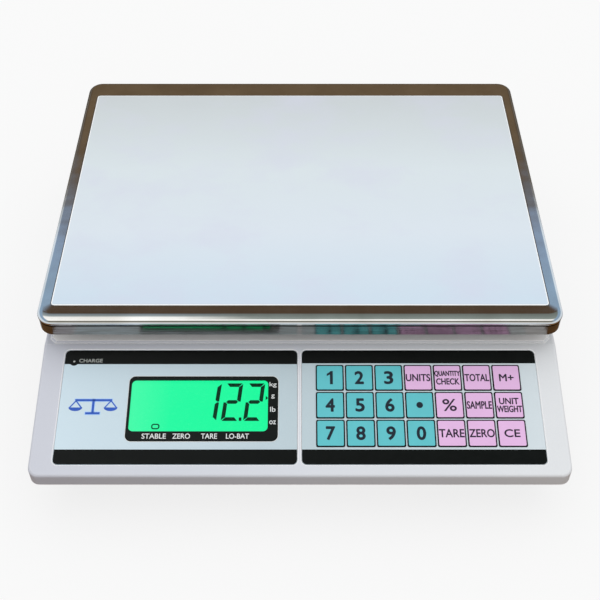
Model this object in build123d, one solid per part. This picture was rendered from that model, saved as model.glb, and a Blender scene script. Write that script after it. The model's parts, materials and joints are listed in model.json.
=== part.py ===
from build123d import *
import math
import os

# Counting scale: a polished platter on a load cell, over a wedge-shaped plastic housing whose
# sloped front panel holds a backlit display on the left and a 7 x 3 keypad on the right.
# Millimetres. +Z is up, +X is to the user's right, and the user stands at -Y.
# The origin is on the table, under the middle of the whole object.

# ---- driving dimensions -------------------------------------------------------------------
HEIGHT = 92.0  # table to the top of the platter's film
DEPTH = 341.7  # front lip to the platter's back edge

PLATTER_W = 338.0
PLATTER_D = 258.0
PLATTER_SHEET = 0.8
PLATTER_ROLL = 5.3  # outer radius of the rolled top edge
PLATTER_CORNER = 10.5
PLATTER_SKIRT_BOTTOM = 76.6
FILM_SHEET = 0.1
FILM_HALF_W = 160.0
FILM_FRONT_BORDER = 12.5
FILM_BACK_BORDER = 20.0
FILM_CORNER = 2.0

HOUSING_W = 336.6
HOUSING_BACK = 164.0
HOUSING_CORNER = 6.8
LIP_BOTTOM = 31.8  # parting line between the two shells
LIP_TOP = 41.2
PANEL_SLOPE = 13.68  # degrees
PANEL_TOP_Y = -87.05  # the overlays' top edge
COVER_WALL = 2.8
COVER_EDGE = 2.0
DECK_Z = 62.6
PLATEAU_Z = 64.0
PLATEAU_FRONT = -81.9
PLATEAU_HALF_W = 164.6
PLATEAU_CHAMFER = 4.3
FLOOR_Z = 9.0
TRAY_WALL = 2.5
TRAY_INSET = 1.2  # shadow line under the lip
TRAY_NOSE_UNDERCUT = 19.0
TRAY_DRAFT = 5.0
TONGUE = 1.6
TONGUE_H = 3.0
SLACK = 0.2  # assembly gap between fixed pieces

OVERLAY_LENGTH = 78.6
OVERLAY_CORNER = 3.0
OVERLAY_DEPTH = 1.0  # recess below the cover's panel face
OVERLAY_SHEET = 0.8
RECESS_GAP = 0.2  # round each overlay
RECESS_BEVEL = 0.4  # round each recess's upper edge
DISPLAY_LEFT, DISPLAY_RIGHT = -153.2, -1.8
KEYPAD_LEFT, KEYPAD_RIGHT = 1.2, 153.2

BEZEL = (-109.8, -14.0, 18.9, 63.4)  # left, right, upper and lower edge on the panel
WINDOW = (-108.2, -20.4, 21.4, 56.8)
BEZEL_CORNER = 4.0
WINDOW_CORNER = 3.0
LED_X, LED_S = -147.1, 8.1
LED_R = 1.0

KEY_W, KEY_H = 18.2, 18.4
KEY_PITCH_X = 19.0
KEY_PITCH_S = 19.15
KEY_X0 = 10.1
KEY_S0 = 10.6
KEY_CORNER = 1.2
KEY_THICK = 1.4
KEY_TOP = 0.15  # above the cover's panel face
KEY_GAP = 0.15
KEY_TRAVEL = 0.35
KEY_NAMES = (
    ("1", "2", "3", "units", "quantity", "total", "memory"),
    ("4", "5", "6", "point", "percent", "sample", "unit_weight"),
    ("7", "8", "9", "0", "tare", "zero", "clear"),
)

FOOT_X = 138.0
FOOT_FRONT_Y, FOOT_BACK_Y = -130.0, 138.0
FOOT_R = 14.0
FOOT_WHEEL_H = 7.2
FOOT_STUD_R = 4.0
FOOT_STUD_TOP = 27.0
FOOT_BOSS_R = 9.0
FOOT_BOSS_TOP = 26.0
FIT = 0.06  # radial gap of threads and pins that turn or slide

CELL_LENGTH, CELL_WIDTH, CELL_HEIGHT = 130.0, 30.0, 22.0
CELL_Z = 23.0
CELL_WINDOW_X = 20.0
CELL_WINDOW_R = 9.3
CELL_FIXED_SCREWS = (-55.0, -38.0)
CELL_FREE_SCREWS = (40.0, 57.0)
PLATE_Z = 15.0
PLATE_T = 3.0
PLATE_HALF_X, PLATE_HALF_Y = 74.0, 30.0
PLATE_SCREW_X, PLATE_SCREW_Y = 66.0, 22.0
STOP_GAP = 0.5

ARM_Z, ARM_H = 68.0, 8.0
ARM_END_X, ARM_END_Y = 118.0, 88.0
PAD_BOSS_R, PAD_BOSS_TOP = 14.0, 84.0
PAD_R = 11.0
POST_MARGIN = 5.5  # clear space round the support's post in the deck

BATTERY = (101.0, 70.0, 47.0)
BATTERY_Y = 115.5
DOOR_HALF_X = 52.7
DOOR_FRONT, DOOR_BACK = 80.4, 151.7
DOOR_GAP = 0.3
DOOR_PIN_R = 0.95
DOOR_PIN_LENGTH = 2.0

ROCKER_X, JACK_X = 118.0, 88.0
REAR_FITTINGS_Z = 47.0
ROCKER_CUT = (13.0, 19.2)  # height and width of the switch's opening
ROCKER_PIN_R = 1.2
ROCKER_PIN_REACH = 5.6  # from the rocker's middle to the end of each pivot pin
JACK_R = 4.0
VIAL_Y, VIAL_R, VIAL_SINK = 148.0, 9.0, 1.8

DISPLAY_BOARD_N = -9.6  # boards hang under the sloped panel: heights of their upper faces
DISPLAY_BOARD_POSTS = [(x, s) for x in (-118.0, -11.0) for s in (16.0, 66.0)]
KEY_BOARD_N = -4.2
KEY_BOARD_POSTS = [(x, s) for x in (20.0, 76.5, 133.0) for s in (5.0, 72.4)]
BOARD_SHEET = 1.6
BOARD_Z = 18.0
BOARD = (24.0, 134.0, -112.0, -38.0)  # main board: left, right, front and back edge
HEADER_H = 8.0
KEYPAD_HEADER = (44.0, -103.0)
BATTERY_HEADER = (70.0, -103.0)
CELL_HEADER = (44.0, -47.0)
POWER_HEADER = (102.0, -45.0)
DISPLAY_HEADER = (31.0, -84.0)

# ---- worked-out places --------------------------------------------------------------------
FRONT_Y = -DEPTH / 2
PLATTER_BACK = DEPTH / 2
PLATTER_FRONT = PLATTER_BACK - PLATTER_D
PLATTER_Y = (PLATTER_FRONT + PLATTER_BACK) / 2
SHEET_TOP = HEIGHT - FILM_SHEET
SHEET_UNDER = SHEET_TOP - PLATTER_SHEET
TAN = math.tan(math.radians(PANEL_SLOPE))
PANEL_TOP_Z = LIP_TOP + (PANEL_TOP_Y - FRONT_Y) * TAN
PANEL = Plane(
    origin=(0, PANEL_TOP_Y, PANEL_TOP_Z),
    x_dir=(1, 0, 0),
    z_dir=(0, -math.sin(math.radians(PANEL_SLOPE)), math.cos(math.radians(PANEL_SLOPE))),
)
FLOOR_TOP = FLOOR_Z + TRAY_WALL
CELL_TOP = CELL_Z + CELL_HEIGHT
KEYS_X1 = KEY_X0 + 6 * KEY_PITCH_X + KEY_W
KEYS_S1 = KEY_S0 + 2 * KEY_PITCH_S + KEY_H
OVERLAY_FACE = OVERLAY_SHEET - OVERLAY_DEPTH
DOOR_AXIS_Y = DOOR_FRONT + TRAY_WALL / 2
DOOR_AXIS_Z = FLOOR_Z + TRAY_WALL / 2
ROCKER_AXIS_Y = HOUSING_BACK - 0.6
BOARD_POSTS_X = (BOARD[0] + 5, BOARD[1] - 5)
BOARD_POSTS_Y = (BOARD[2] + 5, BOARD[3] - 5)
BOARD_TOP = BOARD_Z + BOARD_SHEET
HEADER_TOP = BOARD_TOP + HEADER_H
FEET = {
    "front_left": (-FOOT_X, FOOT_FRONT_Y),
    "front_right": (FOOT_X, FOOT_FRONT_Y),
    "back_left": (-FOOT_X, FOOT_BACK_Y),
    "back_right": (FOOT_X, FOOT_BACK_Y),
}
HOUSING_SCREWS = [(-152.0, -106.0), (152.0, -106.0), (0.0, -138.0), (-152.0, 95.0), (152.0, 95.0)]
HOUSING_SCREWS += [(-100.0, 150.0), (66.0, 150.0)]


# ---- helpers ------------------------------------------------------------------------------
def slab(half_x, y0, y1, z0, z1, corner, x=0.0):
    """Upright block with rounded plan corners."""
    plan = RectangleRounded(2 * half_x, y1 - y0, corner)
    return Pos(x, (y0 + y1) / 2, z0) * extrude(plan, z1 - z0)


def rod(x, y, z0, z1, radius):
    """Upright cylinder from z0 to z1."""
    return Pos(x, y, (z0 + z1) / 2) * Cylinder(radius, z1 - z0)


def on_panel(x0, x1, s0, s1, n0, n1, corner):
    """Plate on the sloped panel: x across, s down the slope, n out of the panel."""
    plan = RectangleRounded(x1 - x0, s1 - s0, corner)
    return PANEL * Pos((x0 + x1) / 2, -(s0 + s1) / 2, n0) * extrude(plan, n1 - n0)


def panel_rod(x, s, n0, n1, radius):
    """Cylinder square to the sloped panel."""
    return PANEL * Pos(x, -s, (n0 + n1) / 2) * Cylinder(radius, n1 - n0)


def prism(points, half_x):
    """Side-view outline of (y, z) points, as wide as 2 half_x."""
    outline = make_face(Polyline(*points, close=True))
    return extrude(Plane.YZ * outline, half_x, both=True)


def joined(pieces):
    """One solid from touching pieces."""
    whole = pieces[0]
    for piece in pieces[1:]:
        whole = whole + piece
    return whole


def pan_screw(x, y, z_head, radius, length, head_r, head_h, up=1):
    """Screw whose head stands on z_head, with its shank going the other way."""
    low, high = sorted((z_head, z_head + up * head_h))
    head = rod(x, y, low, high, head_r)
    shank_low, shank_high = sorted((z_head, z_head - up * length))
    drive = Pos(x, y, z_head + up * head_h) * Box(head_r * 1.1, head_r * 0.28, head_h)
    cross = Pos(x, y, z_head + up * head_h) * Box(head_r * 0.28, head_r * 1.1, head_h)
    return head + rod(x, y, shank_low, shank_high, radius) - drive - cross


def wire(points, radius, bend):
    """Round lead along straight runs joined by tangent arcs."""
    path = FilletPolyline(*points, radius=bend)
    section = Plane(origin=path @ 0, z_dir=path % 0) * Circle(radius)
    return sweep(section, path=path)


# ---- platter ------------------------------------------------------------------------------
def platter():
    """Deep-drawn pan: flat top, rolled edge and a straight skirt, open underneath."""
    half = PLATTER_W / 2
    outer = slab(half, PLATTER_FRONT, PLATTER_BACK, PLATTER_SKIRT_BOTTOM, SHEET_TOP, PLATTER_CORNER)
    outer = fillet(outer.edges().group_by(Axis.Z)[-1], PLATTER_ROLL)
    t = PLATTER_SHEET
    inner = slab(
        half - t,
        PLATTER_FRONT + t,
        PLATTER_BACK - t,
        PLATTER_SKIRT_BOTTOM - 1,
        SHEET_UNDER,
        PLATTER_CORNER - t,
    )
    inner = fillet(inner.edges().group_by(Axis.Z)[-1], PLATTER_ROLL - t)
    return outer - inner


def platter_film():
    """Thin protective sheet on the platter's flat field."""
    return slab(
        FILM_HALF_W,
        PLATTER_FRONT + FILM_FRONT_BORDER,
        PLATTER_BACK - FILM_BACK_BORDER,
        SHEET_TOP,
        HEIGHT,
        FILM_CORNER,
    )


# ---- load path ----------------------------------------------------------------------------
def pan_support():
    """Cast spider: a post on the load cell's free end, a hub and four arms with pad bosses."""
    cx = sum(CELL_FREE_SCREWS) / 2
    post = slab(15.0, PLATTER_Y - 14.0, PLATTER_Y + 14.0, CELL_TOP, ARM_Z + ARM_H, 4.0, x=cx)
    hub = slab(34.0, PLATTER_Y - 20.0, PLATTER_Y + 20.0, ARM_Z, ARM_Z + ARM_H, 8.0, x=cx / 2)
    pieces = [post, hub]
    reach = math.hypot(ARM_END_X, ARM_END_Y)
    for sx in (-1, 1):
        for sy in (-1, 1):
            angle = math.degrees(math.atan2(sy * ARM_END_Y, sx * ARM_END_X))
            arm = make_face(Polyline((0, -15), (reach, -8), (reach, 8), (0, 15), close=True))
            pieces.append(Pos(0, PLATTER_Y, ARM_Z) * Rot(0, 0, angle) * extrude(arm, ARM_H))
            x, y = sx * ARM_END_X, PLATTER_Y + sy * ARM_END_Y
            pieces.append(rod(x, y, ARM_Z, PAD_BOSS_TOP, PAD_BOSS_R))
    body = joined(pieces)
    for sx in (-1, 1):
        for sy in (-1, 1):
            angle = math.degrees(math.atan2(sy * ARM_END_Y, sx * ARM_END_X))
            pocket = Pos(86, 0, ARM_Z + ARM_H) * extrude(SlotOverall(80, 9), -4.0)
            body -= Pos(0, PLATTER_Y, 0) * Rot(0, 0, angle) * pocket
            x, y = sx * ARM_END_X, PLATTER_Y + sy * ARM_END_Y
            body -= rod(x, y, ARM_Z - 1, PAD_BOSS_TOP + 1, 4.0)
    for x in CELL_FREE_SCREWS:
        body -= rod(x, PLATTER_Y, CELL_TOP - 1, ARM_Z + ARM_H + 1, 3.3)
        body -= rod(x, PLATTER_Y, ARM_Z + 1, ARM_Z + ARM_H + 1, 6.0)
    return body


def pan_pads():
    """Rubber buttons that the platter rests on, each with a stem in its boss."""
    pads = []
    for sx in (-1, 1):
        for sy in (-1, 1):
            x, y = sx * ARM_END_X, PLATTER_Y + sy * ARM_END_Y
            button = rod(x, y, PAD_BOSS_TOP, SHEET_UNDER, PAD_R)
            button = chamfer(button.edges().group_by(Axis.Z)[-1], 1.0)
            pads.append(button + rod(x, y, ARM_Z + 1, PAD_BOSS_TOP, 4.0))
    return Compound(children=pads)


def load_cell():
    """Single-point aluminium beam with its dumbbell window and threaded ends."""
    beam = Pos(0, PLATTER_Y, CELL_Z + CELL_HEIGHT / 2) * Box(CELL_LENGTH, CELL_WIDTH, CELL_HEIGHT)
    beam = chamfer(beam.edges().filter_by(Axis.X), 0.8)
    mid_z = CELL_Z + CELL_HEIGHT / 2
    for x in (-CELL_WINDOW_X, CELL_WINDOW_X):
        beam -= Pos(x, PLATTER_Y, mid_z) * Rot(90, 0, 0) * Cylinder(CELL_WINDOW_R, CELL_WIDTH + 2)
    beam -= Pos(0, PLATTER_Y, mid_z) * Box(2 * CELL_WINDOW_X, CELL_WIDTH + 2, 7.0)
    for x in CELL_FIXED_SCREWS:
        beam -= rod(x, PLATTER_Y, CELL_Z - 1, CELL_Z + 13, 3.0)
    for x in CELL_FREE_SCREWS:
        beam -= rod(x, PLATTER_Y, CELL_TOP - 13, CELL_TOP + 1, 3.0)
    return beam


def base_plate():
    """Cast plate under the load cell, with a raised pad below its fixed end."""
    y0, y1 = PLATTER_Y - PLATE_HALF_Y, PLATTER_Y + PLATE_HALF_Y
    plate = slab(PLATE_HALF_X, y0, y1, PLATE_Z, PLATE_Z + PLATE_T, 6.0)
    pad_x = sum(CELL_FIXED_SCREWS) / 2
    plate += slab(16.0, PLATTER_Y - 15, PLATTER_Y + 15, PLATE_Z + PLATE_T - 0.5, CELL_Z, 2.0, x=pad_x)
    for x in CELL_FIXED_SCREWS:
        plate -= rod(x, PLATTER_Y, PLATE_Z - 1, CELL_Z + 1, 3.2)
    for x in (-PLATE_SCREW_X, PLATE_SCREW_X):
        for y in (-PLATE_SCREW_Y, PLATE_SCREW_Y):
            plate -= rod(x, PLATTER_Y + y, PLATE_Z - 1, PLATE_Z + PLATE_T + 1, 2.7)
    return plate - rod(CELL_FREE_SCREWS[1], PLATTER_Y, PLATE_Z - 1, PLATE_Z + PLATE_T + 1, 3.0)


def base_plate_screws():
    """Four screws from above, into the tray's posts."""
    return Compound(
        children=[
            pan_screw(x, PLATTER_Y + y, PLATE_Z + PLATE_T, 2.4, 6.0, 4.5, 2.8)
            for x in (-PLATE_SCREW_X, PLATE_SCREW_X)
            for y in (-PLATE_SCREW_Y, PLATE_SCREW_Y)
        ]
    )


def load_cell_base_screws():
    """Two screws from below, through the plate and its pad, into the beam's fixed end."""
    return Compound(
        children=[pan_screw(x, PLATTER_Y, PLATE_Z, 3.0, 19.0, 5.2, 2.8, up=-1) for x in CELL_FIXED_SCREWS]
    )


def load_cell_top_screws():
    """Two long screws from above, through the support's post, into the beam's free end."""
    return Compound(
        children=[pan_screw(x, PLATTER_Y, ARM_Z + 1, 3.0, 35.0, 5.2, 5.0) for x in CELL_FREE_SCREWS]
    )


def overload_stop():
    """Set screw with its lock nut, just below the beam's free end."""
    x = CELL_FREE_SCREWS[1]
    screw = rod(x, PLATTER_Y, PLATE_Z - 2, CELL_Z - STOP_GAP, 3.0)
    nut_plan = RegularPolygon(5.7, 6) - Circle(3.0)
    nut = Pos(x, PLATTER_Y, PLATE_Z + PLATE_T) * extrude(nut_plan, 3.2)
    return Compound(children=[screw, nut])


# ---- top cover ----------------------------------------------------------------------------
def cover_outside():
    """Wedge with rounded plan corners, soft upper edges and a low plateau behind the panel."""
    ridge_y = FRONT_Y + (DECK_Z - LIP_TOP) / TAN
    side = [(FRONT_Y, LIP_BOTTOM), (FRONT_Y, LIP_TOP), (ridge_y, DECK_Z)]
    side += [(HOUSING_BACK, DECK_Z), (HOUSING_BACK, LIP_BOTTOM)]
    wedge = prism(side, HOUSING_W / 2 + 1)
    wedge &= slab(HOUSING_W / 2, FRONT_Y, HOUSING_BACK, LIP_BOTTOM - 1, DECK_Z + 1, HOUSING_CORNER)
    upper = [e for e in wedge.edges() if min(v.Z for v in e.vertices()) > LIP_TOP - 0.01]
    rim = [e for e in upper if not (e.length > 300 and FRONT_Y + 5 < e.center().Y < HOUSING_BACK - 5)]
    wedge = fillet(rim, COVER_EDGE)
    return wedge + plateau()


def plateau(inset=0.0, z0=DECK_Z - 1.0, z1=PLATEAU_Z, back=HOUSING_BACK - 4.0):
    """Raised deck with clipped front corners and a 45 degree edge."""
    rise = z1 - z0
    half = PLATEAU_HALF_W + 1.0 - inset
    front = PLATEAU_FRONT - 1.0 + inset
    clip = PLATEAU_CHAMFER
    outline = Polyline(
        (-half, back - inset),
        (-half, front + clip),
        (-half + clip, front),
        (half - clip, front),
        (half, front + clip),
        (half, back - inset),
        close=True,
    )
    return Pos(0, 0, z0) * extrude(make_face(outline), rise, taper=45)


def cover_inside():
    """The cover's hollow, one wall thickness inside its outer faces."""
    w = COVER_WALL
    drop = w / math.cos(math.radians(PANEL_SLOPE))
    ridge_y = FRONT_Y + (DECK_Z - w - LIP_TOP + drop) / TAN
    side = [(FRONT_Y - 1, LIP_BOTTOM - 1), (FRONT_Y - 1, LIP_TOP - drop - TAN)]
    side += [(ridge_y, DECK_Z - w), (HOUSING_BACK + 1, DECK_Z - w), (HOUSING_BACK + 1, LIP_BOTTOM - 1)]
    hollow = prism(side, HOUSING_W / 2)
    hollow &= slab(
        HOUSING_W / 2 - w, FRONT_Y + w, HOUSING_BACK - w, LIP_BOTTOM - 2, DECK_Z + 1, HOUSING_CORNER - w
    )
    return hollow + plateau(inset=5.2, z0=DECK_Z - w - 1.0, z1=PLATEAU_Z - w)


def cover_posts():
    """Screw posts that meet the tray's posts, and the boards' short posts on the panel's back."""
    pieces = []
    for x, y in HOUSING_SCREWS:
        top = min(PLATEAU_Z, LIP_TOP + (y - FRONT_Y) * TAN) - 1.5
        pieces.append(rod(x, y, LIP_BOTTOM, top, 4.2) - rod(x, y, LIP_BOTTOM - 1, LIP_BOTTOM + 10, 1.6))
    for x, s in DISPLAY_BOARD_POSTS:
        pieces.append(panel_rod(x, s, DISPLAY_BOARD_N, -1.4, 3.0))
    for x, s in KEY_BOARD_POSTS:
        pieces.append(panel_rod(x, s, KEY_BOARD_N, -1.4, 2.2))
    return pieces


def overlay_recess(x0, x1):
    """Shallow pocket for an overlay, with a 45 degree bevel round its upper edge."""
    s0, s1 = -RECESS_GAP, OVERLAY_LENGTH + RECESS_GAP
    pocket = on_panel(x0, x1, s0, s1, -OVERLAY_DEPTH, 1, OVERLAY_CORNER + RECESS_GAP)
    plan = RectangleRounded(x1 - x0, s1 - s0, OVERLAY_CORNER + RECESS_GAP)
    bevel = extrude(plan, 2 * RECESS_BEVEL, taper=-45)
    return pocket + PANEL * Pos((x0 + x1) / 2, -(s0 + s1) / 2, -RECESS_BEVEL) * bevel


def top_cover():
    """Upper shell with its recesses, windows, posts and rear openings."""
    shell = cover_outside() - cover_inside()
    shell = joined([shell] + cover_posts())
    for x0, x1 in ((DISPLAY_LEFT, DISPLAY_RIGHT), (KEYPAD_LEFT, KEYPAD_RIGHT)):
        shell -= overlay_recess(x0 - RECESS_GAP, x1 + RECESS_GAP)
    m = 0.7
    shell -= on_panel(
        WINDOW[0] - m, WINDOW[1] + m, WINDOW[2] - m, WINDOW[3] + m, -COVER_WALL - 1, 1, WINDOW_CORNER
    )
    shell -= on_panel(KEY_X0 - m, KEYS_X1 + m, KEY_S0 - m, KEYS_S1 + m, -COVER_WALL - 1, 1, KEY_CORNER)
    shell -= panel_rod(LED_X, LED_S, -COVER_WALL - 1, 1, LED_R + SLACK)
    cx = sum(CELL_FREE_SCREWS) / 2
    post_y = 14.0 + POST_MARGIN
    shell -= slab(15.0 + POST_MARGIN, PLATTER_Y - post_y, PLATTER_Y + post_y, 50, 80, 8.0, x=cx)
    shell -= Pos(ROCKER_X, HOUSING_BACK, REAR_FITTINGS_Z) * Box(ROCKER_CUT[1], 20, ROCKER_CUT[0])
    shell -= Pos(JACK_X, HOUSING_BACK, REAR_FITTINGS_Z) * Rot(90, 0, 0) * Cylinder(JACK_R + SLACK / 2, 20)
    return shell - rod(0, VIAL_Y, PLATEAU_Z - VIAL_SINK, PLATEAU_Z + 1, VIAL_R + SLACK / 2)


def level_vial():
    """Round bubble level, sunk into the rear deck."""
    body = rod(0, VIAL_Y, PLATEAU_Z - VIAL_SINK, PLATEAU_Z + 4.2, VIAL_R)
    return fillet(body.edges().group_by(Axis.Z)[-1], 1.2)


# ---- base tray ----------------------------------------------------------------------------
def tray_loft(inset, z0, z1):
    """Solid between the tray's floor outline and its rim outline, shrunk by inset."""
    rim_z = LIP_BOTTOM

    def outline(z):
        share = (rim_z - z) / (rim_z - FLOOR_Z)
        half = HOUSING_W / 2 - TRAY_INSET - TRAY_DRAFT * share - inset
        front = FRONT_Y + TRAY_INSET + TRAY_NOSE_UNDERCUT * share + inset
        back = HOUSING_BACK - TRAY_INSET - TRAY_DRAFT * share - inset
        plan = RectangleRounded(2 * half, back - front, HOUSING_CORNER - TRAY_INSET - inset)
        return Pos(0, (front + back) / 2, z) * plan

    return loft([outline(z0), outline(z1)])


def tray_posts():
    """Feet bosses, housing screw posts, base plate posts, board posts and battery bay walls."""
    pieces = []
    for x, y in FEET.values():
        pieces.append(rod(x, y, FLOOR_Z + 1, FOOT_BOSS_TOP, FOOT_BOSS_R))
    for x, y in HOUSING_SCREWS:
        pieces.append(rod(x, y, FLOOR_Z + 1, LIP_BOTTOM - SLACK, 5.0))
    for x in (-PLATE_SCREW_X, PLATE_SCREW_X):
        for y in (-PLATE_SCREW_Y, PLATE_SCREW_Y):
            pieces.append(rod(x, PLATTER_Y + y, FLOOR_Z + 1, PLATE_Z, 6.0))
    for x in BOARD_POSTS_X:
        for y in BOARD_POSTS_Y:
            pieces.append(rod(x, y, FLOOR_Z + 1, BOARD_Z, 3.5))
    half_x, half_y = BATTERY[0] / 2 + 0.4, BATTERY[1] / 2 + 0.4
    y0, y1 = BATTERY_Y - half_y, BATTERY_Y + half_y
    bay = slab(half_x + 2.0, y0 - 2.0, y1 + 2.0, FLOOR_Z + 1, FLOOR_Z + 32, 3.0)
    pieces.append(bay - slab(half_x, y0, y1, FLOOR_Z, FLOOR_Z + 40, 1.0))
    return pieces


def base_tray():
    """Lower shell: floor, undercut nose, tongue inside the cover, and everything moulded in it."""
    shell = tray_loft(0, FLOOR_Z, LIP_BOTTOM)
    edge = HOUSING_W / 2 - COVER_WALL - SLACK
    tongue = slab(
        edge,
        FRONT_Y + COVER_WALL + SLACK,
        HOUSING_BACK - COVER_WALL - SLACK,
        LIP_BOTTOM - 0.5,
        LIP_BOTTOM + TONGUE_H,
        HOUSING_CORNER - COVER_WALL - SLACK,
    )
    shell += tongue
    shell -= tray_loft(TRAY_WALL, FLOOR_TOP, LIP_BOTTOM)
    shell -= slab(
        edge - TONGUE,
        FRONT_Y + COVER_WALL + SLACK + TONGUE,
        HOUSING_BACK - COVER_WALL - SLACK - TONGUE,
        LIP_BOTTOM - 1,
        LIP_BOTTOM + TONGUE_H + 1,
        HOUSING_CORNER - COVER_WALL - SLACK - TONGUE,
    )
    shell = joined([shell] + tray_posts())
    shell -= door_opening()
    for x, y in FEET.values():
        shell -= rod(x, y, FLOOR_Z - 1, FOOT_BOSS_TOP + 1, FOOT_STUD_R + FIT)
    for x, y in HOUSING_SCREWS:
        shell -= rod(x, y, FLOOR_Z - 1, LIP_BOTTOM, 1.9)
        shell -= rod(x, y, FLOOR_Z - 1, FLOOR_Z + 8, 3.6)
    for x in (-PLATE_SCREW_X, PLATE_SCREW_X):
        for y in (-PLATE_SCREW_Y, PLATE_SCREW_Y):
            shell -= rod(x, PLATTER_Y + y, FLOOR_TOP, PLATE_Z + 1, 2.4)
    return shell


# ---- battery door -------------------------------------------------------------------------
def door_opening():
    """Floor opening with its hinge sockets, a notch for the latch, and clear room above."""
    half = DOOR_HALF_X + DOOR_GAP
    y0, y1 = DOOR_FRONT - DOOR_GAP, DOOR_BACK + DOOR_GAP
    hole = slab(half, y0, y1, FLOOR_Z - 1, FLOOR_TOP + 0.6, 0.5)
    hole += slab(7.0 + DOOR_GAP, y1 - 1, y1 + 2.0, FLOOR_Z - 1, FLOOR_TOP + 0.6, 0.5)
    socket = Pos(0, DOOR_AXIS_Y, DOOR_AXIS_Z) * Rot(0, 90, 0)
    socket_length = 2 * (DOOR_HALF_X + DOOR_PIN_LENGTH + DOOR_GAP)
    return hole + socket * Cylinder(DOOR_PIN_R + FIT, socket_length)


def battery_door():
    """Hinged panel with a round front edge, two hinge pins, finger ribs and a snap tongue."""
    r = TRAY_WALL / 2
    plate = slab(DOOR_HALF_X, DOOR_AXIS_Y, DOOR_BACK, FLOOR_Z, FLOOR_TOP, 0.5)
    turned = Pos(0, DOOR_AXIS_Y, DOOR_AXIS_Z) * Rot(0, 90, 0)
    plate += turned * Cylinder(r, 2 * DOOR_HALF_X)
    plate += turned * Cylinder(DOOR_PIN_R, 2 * (DOOR_HALF_X + DOOR_PIN_LENGTH))
    tongue_y = DOOR_BACK - 12.0
    plate += slab(7.0, DOOR_BACK - 1, DOOR_BACK + 1.7, FLOOR_Z, FLOOR_Z + 1.6, 0.5)
    for x in (-8.4, 8.4):
        plate -= slab(0.8, tongue_y, DOOR_BACK + 1, FLOOR_Z - 1, FLOOR_TOP + 1, 0.3, x=x)
    for k in range(4):
        y = tongue_y + 1.5 + 2.4 * k
        plate -= Pos(0, y, FLOOR_Z) * Box(11.0, 1.0, 0.8)
    return plate


# ---- display ------------------------------------------------------------------------------
def overlay_sheet(x0, x1):
    """Blank graphic plate."""
    return on_panel(x0, x1, 0, OVERLAY_LENGTH, -OVERLAY_DEPTH, OVERLAY_FACE, OVERLAY_CORNER)


def display_overlay():
    """Left graphic plate, open at the bezel and at the charge lamp."""
    plate = overlay_sheet(DISPLAY_LEFT, DISPLAY_RIGHT)
    g = SLACK / 4
    plate -= on_panel(BEZEL[0] - g, BEZEL[1] + g, BEZEL[2] - g, BEZEL[3] + g, -2, 1, BEZEL_CORNER)
    return plate - panel_rod(LED_X, LED_S, -2, 1, LED_R + g)


def lcd_bezel():
    """Black frame round the display window."""
    frame = on_panel(BEZEL[0], BEZEL[1], BEZEL[2], BEZEL[3], -OVERLAY_DEPTH, 0.1, BEZEL_CORNER)
    return frame - on_panel(WINDOW[0], WINDOW[1], WINDOW[2], WINDOW[3], -2, 1, WINDOW_CORNER)


def lcd_window():
    """Clear plate behind the bezel."""
    m = 0.5
    return on_panel(
        WINDOW[0] - m, WINDOW[1] + m, WINDOW[2] - m, WINDOW[3] + m, -2.1, -OVERLAY_DEPTH, WINDOW_CORNER
    )


def lcd_glass():
    """Liquid-crystal cell."""
    left, right, upper, lower = WINDOW
    return on_panel(left - 2, right + 2, upper - 2, lower + 2, -5.2, -COVER_WALL - 0.1, 0.4)


def lcd_backlight():
    """Light guide block behind the liquid-crystal cell."""
    return on_panel(WINDOW[0] - 2.5, WINDOW[1] + 2.5, WINDOW[2] - 2.5, WINDOW[3] + 2.5, -9.0, -5.3, 0.6)


def display_board():
    """Printed board behind the display, with its driver chip and header."""
    board = on_panel(-122, -7, 12, 70, DISPLAY_BOARD_N - BOARD_SHEET, DISPLAY_BOARD_N, 1.5)
    for x, s in DISPLAY_BOARD_POSTS:
        board -= panel_rod(x, s, -12, -9, 1.2)
    back = DISPLAY_BOARD_N - BOARD_SHEET
    chip = on_panel(-78, -64, 32, 46, back - 1.8, back, 0.3)
    header = on_panel(-40, -20, 38, 44, back - 4.8, back, 0.3)
    return joined([board, chip, header])


def charge_led():
    """Small domed lamp in the upper left corner of the display panel."""
    lens = panel_rod(LED_X, LED_S, -4.5, -0.9, LED_R)
    dome = PANEL * Pos(LED_X, -LED_S, -0.9) * Sphere(LED_R)
    dome -= panel_rod(LED_X, LED_S, -4, -0.9, LED_R + 1)
    return lens + dome


# ---- keypad -------------------------------------------------------------------------------
def key_corner(column, row):
    """Upper left corner of a key, as (x, s) on the panel."""
    return KEY_X0 + column * KEY_PITCH_X, KEY_S0 + row * KEY_PITCH_S


def keypad_overlay():
    """Right graphic plate: a border and the thin webs between the keys."""
    plate = overlay_sheet(KEYPAD_LEFT, KEYPAD_RIGHT)
    holes = []
    for row in range(3):
        for column in range(7):
            x, s = key_corner(column, row)
            holes.append(on_panel(x, x + KEY_W, s, s + KEY_H, -2, 1, KEY_CORNER))
    return plate - holes


def key(column, row):
    """One key tile, slightly proud of the overlay, with a soft upper edge."""
    x, s = key_corner(column, row)
    g = KEY_GAP
    bottom = KEY_TOP - KEY_THICK
    return on_panel(x + g, x + KEY_W - g, s + g, s + KEY_H - g, bottom, KEY_TOP, KEY_CORNER - g)


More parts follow.
